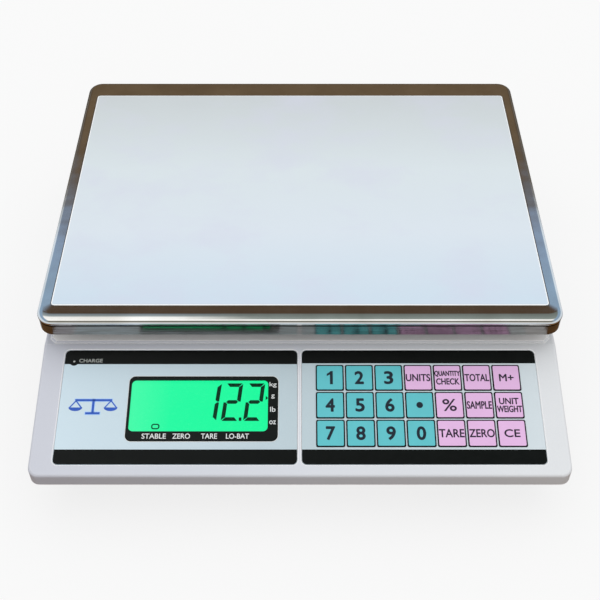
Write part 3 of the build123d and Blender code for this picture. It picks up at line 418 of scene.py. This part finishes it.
# ---- building pieces ----------------------------------------------------------------------
def piece(name, points, faces, material, body="root", smooth_angle=None):
    """A mesh object that rides on a body."""
    mesh = bpy.data.meshes.new(name)
    mesh.from_pydata([tuple(p) for p in points], [], faces)
    tidy = bmesh.new()
    tidy.from_mesh(mesh)
    bmesh.ops.recalc_face_normals(tidy, faces=tidy.faces)
    tidy.to_mesh(mesh)
    tidy.free()
    mesh.materials.append(material)
    obj = bpy.data.objects.new(name, mesh)
    bpy.context.scene.collection.objects.link(obj)
    if smooth_angle is not None:
        smooth(obj, smooth_angle)
    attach(obj, body)
    return obj


def rounded(x0, x1, s0, s1, radius, steps=6):
    """Rectangle outline with rounded corners; radius is one number or one for each corner."""
    radii = [radius] * 4 if isinstance(radius, (int, float)) else radius
    corners = ((x1, s0, -90), (x1, s1, 0), (x0, s1, 90), (x0, s0, 180))
    points = []
    for (x, s, start), r in zip(corners, radii):
        cx = x - r if x == x1 else x + r
        cs = s + r if s == s0 else s - r
        for k in range(steps + 1):
            a = math.radians(start + 90 * k / steps)
            points.append((cx + r * math.cos(a), cs + r * math.sin(a)))
    return points


def circle(x, s, radius, steps=32):
    """Round outline."""
    turns = [2 * math.pi * k / steps for k in range(steps)]
    return [(x + radius * math.cos(a), s + radius * math.sin(a)) for a in turns]


def plate(name, outline, n0, n1, material, body="root"):
    """Flat plate on the panel."""
    count = len(outline)
    points = [at(x, s, n0) for x, s in outline] + [at(x, s, n1) for x, s in outline]
    faces = [tuple(range(count)), tuple(range(count, 2 * count))]
    faces += [(k, (k + 1) % count, count + (k + 1) % count, count + k) for k in range(count)]
    return piece(name, points, faces, material, body)


def ring(name, outer, inner, n0, n1, material, body="root"):
    """Flat frame on the panel, between two outlines with as many points."""
    count = len(outer)
    points = [at(x, s, n) for n in (n0, n1) for loop in (outer, inner) for x, s in loop]
    faces = []
    for k in range(count):
        j = (k + 1) % count
        for a, b in ((0, count), (2 * count, 3 * count), (0, 2 * count), (count, 3 * count)):
            faces.append((a + k, a + j, b + j, b + k))
    return piece(name, points, faces, material, body)


def plates(name, outlines, n0, n1, material, body="root"):
    """Several flat plates as one piece."""
    points, faces = [], []
    for outline in outlines:
        base, count = len(points), len(outline)
        points += [at(x, s, n0) for x, s in outline] + [at(x, s, n1) for x, s in outline]
        faces += [tuple(range(base, base + count)), tuple(range(base + count, base + 2 * count))]
        for k in range(count):
            j = (k + 1) % count
            faces.append((base + k, base + j, base + count + j, base + count + k))
    return piece(name, points, faces, material, body)


def letters(text):
    """Vertices and faces of flat lettering, one unit high or so."""
    curve = bpy.data.curves.new("letters", "FONT")
    curve.body = text
    curve.extrude = 0.01
    curve.resolution_u = 5
    holder = bpy.data.objects.new("letters", curve)
    bpy.context.scene.collection.objects.link(holder)
    bpy.context.view_layer.update()
    mesh = bpy.data.meshes.new_from_object(holder.evaluated_get(bpy.context.evaluated_depsgraph_get()))
    bpy.data.objects.remove(holder)
    points = [tuple(v.co) for v in mesh.vertices]
    faces = [tuple(f.vertices) for f in mesh.polygons]
    bpy.data.meshes.remove(mesh)
    return points, faces


def label(name, text, box, n, material, weight=0.0, body="root"):
    """Lettering that fills box = (left, right, upper, lower); weight in mm thickens the strokes."""
    flat, flat_faces = letters(text)
    xs = [p[0] for p in flat]
    ys = [p[1] for p in flat]
    grow = weight / 2
    left, right, upper, lower = box[0] + grow, box[1] - grow, box[2] + grow, box[3] - grow
    strikes = [(0.0, 0.0)]
    if weight:
        strikes += [(grow * math.cos(k * math.pi / 4), grow * math.sin(k * math.pi / 4)) for k in range(8)]
    points, faces = [], []
    for rank, (dx, ds) in enumerate(strikes):
        base = len(points)
        for px, py, pz in flat:
            x = left + (px - min(xs)) / (max(xs) - min(xs)) * (right - left) + dx
            s = lower - (py - min(ys)) / (max(ys) - min(ys)) * (lower - upper) + ds
            points.append(at(x, s, n + (PRINT if pz > 0 else 0.0) + rank * STRIKE_STEP))
        faces += [tuple(base + v for v in face) for face in flat_faces]
    return piece(name, points, faces, material, body)


# ---- platter ------------------------------------------------------------------------------
def plan_loop(low, high, inset, corner, z, steps=10, front=None):
    """Rounded rectangle of points at height z, shrunk by inset from the corners low and high."""
    radius = max(corner - inset, 0.4 * MM)
    near = low.y + (inset if front is None else front)
    flat = rounded(low.x + inset, high.x - inset, near, high.y - inset, radius, steps)
    return [Vector((x, y, z)) for x, y in flat]


def bridge(loops):
    """Faces between successive loops of as many points."""
    count = len(loops[0])
    faces = []
    for row in range(len(loops) - 1):
        for k in range(count):
            j = (k + 1) % count
            a, b = row * count, (row + 1) * count
            faces.append((a + k, a + j, b + j, b + k))
    return faces


def build_platter():
    """Pressed pan: hemmed skirt, rolled edge, gently falling border, fine groove round the field."""
    low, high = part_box("platter")
    film_low, film_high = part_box("platter_film")
    top = high.z

    def shell_side(inset, top_z, thinner):
        """Loops from the hem up over the bead and the roll, and in to the groove round the field."""
        side, front, tall = ROLL_W - thinner, ROLL_FRONT - thinner, ROLL_H - thinner
        centre = top_z - BORDER_DROP - tall
        bead = centre + tall * math.cos(ROLL_SWEEP)
        back_in = 1 - math.sin(ROLL_SWEEP)

        def turn(share, z):
            return plan_loop(low, high, inset + side * share, PLATTER_CORNER, z, front=inset + front * share)

        loops = [turn(back_in, low.z + 0.25 * MM), turn(back_in, bead - 0.15 * MM)]
        for k in range(28):
            a = ROLL_SWEEP * (1 - k / 27)
            loops.append(turn(1 - math.sin(a), centre + tall * math.cos(a)))
        loops.append(plan_loop(film_low, film_high, -GROOVE * 2, 2.6 * MM, top_z - GROOVE * 0.7))
        loops.append(plan_loop(film_low, film_high, -GROOVE, 2.3 * MM, top_z - GROOVE * 0.7))
        loops.append(plan_loop(film_low, film_high, -0.05 * MM, 2.0 * MM, top_z))
        return loops

    outer = shell_side(0.0, top, 0.0)
    inner = shell_side(PAN_SHEET, top - PAN_SHEET, PAN_SHEET)
    share = 1 - math.sin(ROLL_SWEEP)
    hem_side, hem_front = ROLL_W * share + 0.2 * MM, ROLL_FRONT * share + 0.2 * MM
    fold = PAN_SHEET - 0.4 * MM
    hem_out = plan_loop(low, high, hem_side, PLATTER_CORNER, low.z, front=hem_front)
    hem_in = plan_loop(low, high, hem_side + fold, PLATTER_CORNER, low.z, front=hem_front + fold)
    loops = list(reversed(inner)) + [hem_in, hem_out] + outer
    count = len(loops[0])
    points = [p for loop in loops for p in loop]
    faces = bridge(loops)
    faces += [tuple(range(count)), tuple(range(len(points) - count, len(points)))]
    pan = piece("platter_pan", points, faces, MATERIALS["polished_steel"], "platter", 10)
    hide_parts("platter")
    return pan


def build_film():
    """Protective film, its raised cut edge painted near-white as a painted highlight, and a painted shadow
    ring in the groove round it.
    """
    low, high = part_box("platter_film")
    edge = 0.55 * MM
    lift = 0.02 * MM
    # the raised cut edge is real; its near-white colour is a painted highlight
    rim = [
        plan_loop(low, high, 0, 2 * MM, low.z),
        plan_loop(low, high, 0, 2 * MM, high.z - lift),
        plan_loop(low, high, edge / 3, 2 * MM, high.z),
        plan_loop(low, high, edge, 2 * MM, high.z),
        plan_loop(low, high, edge, 2 * MM, low.z),
    ]
    rim.append(rim[0])
    count = len(rim[0])
    points = [p for loop in rim[:-1] for p in loop]
    faces = bridge(rim)
    faces = [tuple(v % len(points) for v in face) for face in faces]
    piece("film_edge_highlight", points, faces, FILM_EDGE_HIGHLIGHT, "platter", 40)
    floor_z = low.z - GROOVE * 0.6
    # painted shadow: a dark ring laid in the groove round the film, where the shade of the gap falls
    shadow_ring = [
        plan_loop(low, high, -GROOVE * 1.9, 2.5 * MM, floor_z),
        plan_loop(low, high, -GROOVE * 1.9, 2.5 * MM, floor_z + 0.05 * MM),
        plan_loop(low, high, -GROOVE * 0.9, 2.3 * MM, floor_z + 0.05 * MM),
        plan_loop(low, high, -GROOVE * 0.9, 2.3 * MM, floor_z),
    ]
    points = [p for loop in shadow_ring for p in loop]
    faces = bridge(shadow_ring + [shadow_ring[0]])
    faces = [tuple(v % len(points) for v in face) for face in faces]
    piece("film_gap_shadow", points, faces, GAP_SHADOW_INK, "platter")
    sheet = [
        plan_loop(low, high, edge, 2 * MM, low.z),
        plan_loop(low, high, edge, 2 * MM, high.z - lift),
    ]
    points = [p for loop in sheet for p in loop]
    faces = bridge(sheet) + [tuple(range(count)), tuple(range(count, 2 * count))]
    film = piece("film_sheet", points, faces, MATERIALS["film"], "platter")
    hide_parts("platter_film")
    return film


# ---- printed panel ------------------------------------------------------------------------
def print_bands(name, low, high):
    """Black bands along the upper and lower edge of an overlay."""
    x0, x1 = low.x / MM + 0.05, high.x / MM - 0.05
    r = BAND_CORNER
    upper = rounded(x0, x1, 0.05, BAND_TOP[name], [r, 0.05, 0.05, r])
    lower = rounded(x0, x1, PANEL_LENGTH - BAND_BOTTOM, PANEL_LENGTH - 0.05, [0.05, r, r, 0.05])
    plate(name + "_band_upper", upper, 0, PRINT, INK_BLACK)
    plate(name + "_band_lower", lower, 0, PRINT, INK_BLACK)


CHARGE_BOX = (-143.9, -128.6, 6.2, 8.8)  # left, right, upper and lower edge, in mm
STATE_LEGENDS = (("STABLE", -99.3, -84.0), ("ZERO", -80.0, -68.9), ("TARE", -62.1, -52.0),
                 ("LO-BAT", -46.4, -32.0))
STATE_ROW = (58.3, 61.8)
UNITS_X = -17.3
UNIT_LEGENDS = (("kg", 24.9, 3.9, 2.3), ("g", 33.1, 2.9, 1.1), ("lb", 41.9, 3.4, 1.7),
                ("oz", 50.8, 2.6, 2.1))  # text, middle, height and half width
SIGN_PLACE = (-131.7, 39.9)


def print_display_panel():
    """Bezel outline, lamp patch, legends round the window, and a generic balance sign."""
    left, right, upper, lower, _ = panel_extent("lcd_bezel")
    outer = rounded(left - 0.5, right + 0.5, upper - 0.5, lower + 0.5, 4.5)
    inner = rounded(left - 0.1, right + 0.1, upper - 0.1, lower + 0.1, 4.1)
    ring("bezel_outline", outer, inner, 0, PRINT, INK_WHITE)
    lamp_low, lamp_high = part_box("charge_led")
    lamp = (lamp_low + lamp_high) / 2 - PANEL_ORIGIN
    lamp_x, lamp_s = lamp.x / MM, lamp.dot(DOWN) / MM
    lamp_r = (lamp_high.x - lamp_low.x) / 2 / MM
    ring("lamp_patch", circle(lamp_x, lamp_s, 3.1), circle(lamp_x, lamp_s, lamp_r + 0.1), 0, PRINT * 1.4,
         INK_BLACK)
    label("legend_charge", "CHARGE", CHARGE_BOX, PRINT, INK_GREY, 0.14)
    face = 0.3
    for text, x0, x1 in STATE_LEGENDS:
        label("legend_" + text.lower(), text, (x0, x1, *STATE_ROW), face, INK_WHITE, 0.12)
    for text, s, height, half in UNIT_LEGENDS:
        box = (UNITS_X - half, UNITS_X + half, s - height / 2, s + height / 2)
        label("unit_" + text, text, box, face, INK_WHITE, 0.06)
    balance_sign(*SIGN_PLACE)


def balance_sign(x, s):
    """Generic weighing sign: a beam on a post with two hanging pans."""
    def bar(x0, s0, x1, s1, w):
        dx, ds = x1 - x0, s1 - s0
        k = w / 2 / math.hypot(dx, ds)
        return [(x0 - ds * k, s0 + dx * k), (x1 - ds * k, s1 + dx * k), (x1 + ds * k, s1 - dx * k),
                (x0 + ds * k, s0 - dx * k)]

    def pan(cx, top):
        turns = [math.pi * k / 12 for k in range(13)]
        return [(cx + 4.4 * math.cos(a), top + 2.5 * math.sin(a)) for a in turns]

    reach = 11.2
    layers = (("sign_glow", 0.45, 0, INK_PALE_BLUE), ("sign_balance", 0.0, PRINT, INK_BLUE))
    for name, grow, n, colour in layers:
        w = 1.5 + 2 * grow
        shapes = [bar(x - reach - 0.6 - grow, s - 4.4, x + reach + 0.6 + grow, s - 4.4, w)]
        shapes.append(bar(x, s - 5.2 - grow, x, s + 4.2, w * 0.99))
        shapes.append(bar(x - 4.6 - grow, s + 4.6, x + 4.6 + grow, s + 4.6, w * 1.01))
        plates(name, shapes, n, n + PRINT, colour)
        lines = []
        for side in (-1, 1):
            cx = x + side * reach
            lines.append(bar(cx, s - 4.0, cx - 3.9, s + 0.9, 0.7 + grow))
            lines.append(bar(cx, s - 4.0, cx + 3.9, s + 0.9, 0.71 + grow))
        plates(name + "_cords", lines, n + PRINT / 3, n + PRINT * 1.2, colour)
        pans = [pan(x - reach, s + 0.6), pan(x + reach, s + 0.6)]
        plates(name + "_pans", pans, n + PRINT / 2, n + PRINT * 1.5, colour)


# ---- display ------------------------------------------------------------------------------
DIGIT_W, DIGIT_H = 10.9, 26.1
STROKE = 2.5
SEGMENT_GAP = 0.35
LEAN = 0.11
DIGIT_UPPER = 22.5
SEGMENTS_OF = {"1": "bc", "2": "abged"}
READING = (("1", -64.2), ("2", -50.4), ("2", -36.2))  # each figure and its left edge


def segment_outline(which):
    """Outline of one bar of a seven-bar figure, upright, from its upper left corner."""
    w, h, t, g = DIGIT_W, DIGIT_H, STROKE, SEGMENT_GAP
    mid = h / 2
    across = [(1.4 * g, 0), (w - 1.4 * g, 0), (w - t - 0.4 * g, t), (t + 0.4 * g, t)]
    side = [(w, 1.4 * g), (w, mid - g), (w - t / 2, mid - g * 0.6), (w - t, mid - t / 2 - g * 0.6),
            (w - t, t + 0.4 * g)]
    if which == "a":
        return across
    if which == "d":
        return [(x, h - s) for x, s in across]
    if which == "g":
        return [(t / 2 + g, mid), (t + g, mid - t / 2), (w - t - g, mid - t / 2), (w - t / 2 - g, mid),
                (w - t - g, mid + t / 2), (t + g, mid + t / 2)]
    if which == "b":
        return side
    if which == "c":
        return [(x, h - s) for x, s in side]
    return [(w - x, h - s) for x, s in side]


def build_figures():
    """The lit reading: leaning seven-bar figures, a point, a unit marker and the stable ring."""
    _, _, _, _, glass_face = panel_extent("lcd_glass")
    n0, n1 = glass_face + 0.02, glass_face + 0.06
    shapes = []
    for figure, left in READING:
        for which in SEGMENTS_OF[figure]:
            outline = segment_outline(which)
            shapes.append([(left + x + (DIGIT_H - s) * LEAN, DIGIT_UPPER + s) for x, s in outline])
    shapes.append(rounded(-38.9, -37.2, 46.2, 48.6, 0.3))
    shapes.append([(-22.0, 31.3), (-20.5, 32.8), (-22.0, 34.3)])
    plates("figures", shapes, n0, n1, SEGMENT)
    outer, inner = rounded(-94.2, -88.9, 50.5, 54.3, 1.7), rounded(-93.4, -89.7, 51.3, 53.5, 0.9)
    ring("stable_ring", outer, inner, n0, n1, SEGMENT)


# ---- keys ---------------------------------------------------------------------------------
NUMBER_KEYS = [str(k) for k in range(10)]
LEGENDS = {  # lines of (text, width, height, place below the key's middle), in mm
    "units": [("UNITS", 15.8, 5.2, 0.0)],
    "quantity": [("QUANTITY", 16.6, 4.4, -2.7), ("CHECK", 15.0, 4.5, 2.7)],
    "total": [("TOTAL", 15.8, 5.2, 0.0)],
    "memory": [("M+", 9.4, 5.2, 0.0)],
    "percent": [("%", 9.0, 8.4, 0.0)],
    "sample": [("SAMPLE", 16.0, 5.4, 0.0)],
    "unit_weight": [("UNIT", 12.6, 4.5, -2.7), ("WEIGHT", 16.0, 4.6, 2.7)],
    "tare": [("TARE", 16.0, 5.6, 0.0)],
    "zero": [("ZERO", 16.0, 5.6, 0.0)],
    "clear": [("CE", 10.0, 5.4, 0.0)],
}
KEY_OUTLINE = 0.72
FIGURE_W, FIGURE_H = 6.0, 9.3
FIGURE_WEIGHT, LEGEND_WEIGHT = 0.75, 0.3


def figure_one(x, s):
    """Outline of a bold figure 1 with its flag, centred on the key."""
    upper, lower = s - FIGURE_H / 2, s + FIGURE_H / 2
    stem, back, flag = x + 0.1, x + 2.0, x - 1.9
    return [(stem, lower), (stem, upper + 2.4), (flag, upper + 3.6), (flag, upper + 1.9),
            (stem - 0.6, upper + 1.1), (stem + 0.45, upper), (back, upper), (back, lower)]


def build_key_face(name):
    """Coloured printed face inside a dark outline, with its legend."""
    node = "key_" + name
    left, right, upper, lower, face = panel_extent(node)
    slot_name = next(r["material_slot"] for r in frame["record"]["subparts"] if r["node"] == node)
    frame["nodes"][node].data.materials[0] = INK_BLACK
    k = KEY_OUTLINE
    outline = rounded(left + k, right - k, upper + k, lower - k, 0.9)
    plate(node + "_face", outline, face, face + PRINT, MATERIALS[slot_name], node)
    x, s = (left + right) / 2, (upper + lower) / 2
    n = face + PRINT
    if name == "point":
        plate(node + "_legend", circle(x, s, 2.1), n, n + PRINT, INK_NAVY, node)
    elif name == "1":
        plate(node + "_legend", figure_one(x, s), n, n + PRINT, INK_NAVY, node)
    elif name in NUMBER_KEYS:
        box = (x - FIGURE_W / 2, x + FIGURE_W / 2, s - FIGURE_H / 2, s + FIGURE_H / 2)
        label(node + "_legend", name, box, n, INK_NAVY, FIGURE_WEIGHT, node)
    else:
        for rank, (text, width, height, below) in enumerate(LEGENDS[name]):
            box = (x - width / 2, x + width / 2, s + below - height / 2, s + below + height / 2)
            label(node + "_legend_" + str(rank + 1), text, box, n, INK_PLUM, LEGEND_WEIGHT, node)


# ---- surroundings -------------------------------------------------------------------------
def build_floor():
    """Plain pale floor."""
    half = 6.0
    glow = 0.8  # it lights itself for the most part, so the scale's shadow stays faint
    mesh = bpy.data.meshes.new("floor")
    corners = [(-half, -half, 0), (half, -half, 0), (half, half, 0), (-half, half, 0)]
    mesh.from_pydata(corners, [], [(0, 1, 2, 3)])
    white = surface("floor_white", (0.14, 0.141, 0.141, 1), 0.7, mottle=0.004, patch=2.0, grain=0.02,
                    specular=0.0)
    bsdf = white.node_tree.nodes["Principled BSDF"]
    bsdf.inputs["Emission Color"].default_value = PURE_WHITE
    bsdf.inputs["Emission Strength"].default_value = glow
    mesh.materials.append(white)
    floor = bpy.data.objects.new("floor", mesh)
    bpy.context.scene.collection.objects.link(floor)
    floor.visible_glossy = False
    floor.visible_diffuse = False


def over_the_top(tree, axes):
    """Colour of the room from its back, over the ceiling, to its front, by turn round the X axis."""
    turn = tree.math("DIVIDE", tree.math("ARCTAN2", axes["Z"], axes["Y"]), math.pi)
    window, window_top = (1.2, 1.2, 1.19, 1), (1.3, 1.3, 1.28, 1)
    back = [(0.00, linear(84, 66, 46)), (0.20, linear(112, 94, 72)), (0.27, linear(92, 76, 56)),
            (0.31, linear(84, 66, 52))]
    front = [(0.69, window_top), (0.74, linear(120, 118, 106)), (0.85, linear(128, 126, 116)),
             (0.89, (0.85, 0.85, 0.83, 1)), (1.00, (0.7, 0.7, 0.69, 1))]
    wide_window = [(0.34, linear(132, 144, 152)), (0.43, linear(168, 180, 184)), (0.48, window)]
    low_window = [(0.34, linear(120, 128, 124)), (0.58, linear(150, 162, 158)), (0.62, window)]
    left = tree.ramp(turn, back + wide_window + front)
    right = tree.ramp(turn, back + low_window + front)
    return tree.mix(tree.spread(axes["X"], 0.0, 1.0, -0.14, -0.05), left, right)


def shiny_room(tree, axes):
    """What shiny surfaces see: brown at the back, blue-grey beside, a white window in front."""
    def degrees(turned, low, high):
        """0 to 1 as the turn away from the back goes from low to high."""
        return tree.spread(turned, 0.0, 1.0, math.radians(low), math.radians(high))

    x, y, z = axes["X"], axes["Y"], axes["Z"]
    turned = tree.math("ARCTAN2", tree.math("ABSOLUTE", x), y)
    # beside the object, over the horizon
    walls = tree.ramp(y, [(0.67, linear(153, 180, 207)), (0.70, linear(148, 170, 200)),
                          (0.735, linear(112, 110, 112)), (0.78, linear(94, 77, 58))])
    shine = tree.mix(tree.spread(y, 1.0, 0.0, 0.70, 0.74), linear(112, 106, 98), (0.8, 0.9, 1.0, 1))
    sides = tree.mix(tree.spread(z, 1.0, 0.0, 0.28, 0.36), walls, shine)
    past_back = degrees(turned, 20.5, 22)
    before_front = tree.spread(turned, 1.0, 0.0, math.radians(120), math.radians(150))
    low = tree.spread(z, 1.0, 0.0, 0.70, 0.76)
    beside = tree.math("MULTIPLY", tree.math("MULTIPLY", past_back, before_front), low)
    above = tree.mix(beside, over_the_top(tree, axes), sides)
    # under the horizon
    around = degrees(turned, 26, 44)
    facing = degrees(turned, 150, 170)
    deep = tree.spread(z, 0.0, 1.0, -0.38, -0.5)
    rim = tree.mix(tree.spread(y, 1.0, 0.0, 0.4, 0.5), linear(158, 164, 172), linear(122, 90, 58))
    below = tree.mix(around, linear(62, 48, 32), shine)
    below = tree.mix(tree.math("MULTIPLY", around, deep), below, rim)
    below = tree.mix(tree.math("MULTIPLY", facing, deep), below, linear(20, 18, 16))
    return tree.mix(tree.spread(z, 1.0, 0.0, -0.02, 0.02), above, below)


def soft_room(tree, axes):
    """What dull surfaces see: white above, warm and dim below."""
    return tree.ramp(tree.spread(axes["Z"], 0.0, 1.0, -1.0, 1.0), [
        (0.00, linear(104, 90, 84)),
        (0.46, linear(132, 109, 94)),
        (0.53, linear(158, 143, 133)),
        (0.62, linear(226, 225, 224)),
        (0.74, linear(254, 254, 254)),
        (1.00, PURE_WHITE),
    ])


def build_room():
    """Room light by direction, with a plain pale background for the camera."""
    world = bpy.data.worlds.new("room")
    bpy.context.scene.world = world
    tree = Tree(world)
    background = tree.nodes["Background"]
    axes = tree.axes(tree.add("ShaderNodeTexCoord").outputs["Generated"])
    path = tree.add("ShaderNodeLightPath").outputs
    light = tree.mix(path["Is Glossy Ray"], soft_room(tree, axes), shiny_room(tree, axes))
    seen = tree.mix(path["Is Camera Ray"], light, linear(248, 249, 249))
    tree.links.new(seen, background.inputs["Color"])
    background.inputs["Strength"].default_value = 1.0


LIGHT_PLACE = (0.15, 0.35, 1.9)
LIGHT_TARGET = (0, 0, 0.05)
LIGHT_SIZE = (2.2, 2.0)
LIGHT_POWER = 7.5


def build_light():
    """Broad soft light from above, left out of reflections."""
    data = bpy.data.lights.new("top_light", "AREA")
    data.shape = "RECTANGLE"
    data.size, data.size_y = LIGHT_SIZE
    data.energy = LIGHT_POWER
    lamp = bpy.data.objects.new("top_light", data)
    lamp.location = LIGHT_PLACE
    aim = Vector(LIGHT_TARGET) - Vector(LIGHT_PLACE)
    lamp.rotation_euler = aim.to_track_quat("-Z", "Y").to_euler()
    lamp.visible_glossy = False
    bpy.context.scene.collection.objects.link(lamp)


CAMERA_PLACE = (0, -0.5159, 0.5713)
CAMERA_DIP = 47.09  # degrees below the horizon
CAMERA_LENS = 60.9


def build_camera():
    """Camera in front of the scale, looking down at its middle."""
    data = bpy.data.cameras.new("camera")
    data.sensor_width = 36.0
    data.lens = CAMERA_LENS
    data.clip_end = 20.0
    camera = bpy.data.objects.new("camera", data)
    camera.location = CAMERA_PLACE
    camera.rotation_euler = (math.radians(90 - CAMERA_DIP), 0, 0)
    bpy.context.scene.collection.objects.link(camera)
    bpy.context.scene.camera = camera


# ---- everything ---------------------------------------------------------------------------
build_camera()
dress_cad_nodes()
for node in frame["nodes"].values():
    smooth(node, 30)
build_platter()
build_film()
print_bands("display", display_low, display_high)
print_bands("keypad", keypad_low, keypad_high)
print_display_panel()
build_figures()
for node_name in frame["nodes"]:
    if node_name.startswith("key_") and node_name not in ("key_membrane", "key_board"):
        build_key_face(node_name[4:])
build_floor()
build_room()
build_light()
bpy.context.scene.view_settings.view_transform = "Standard"
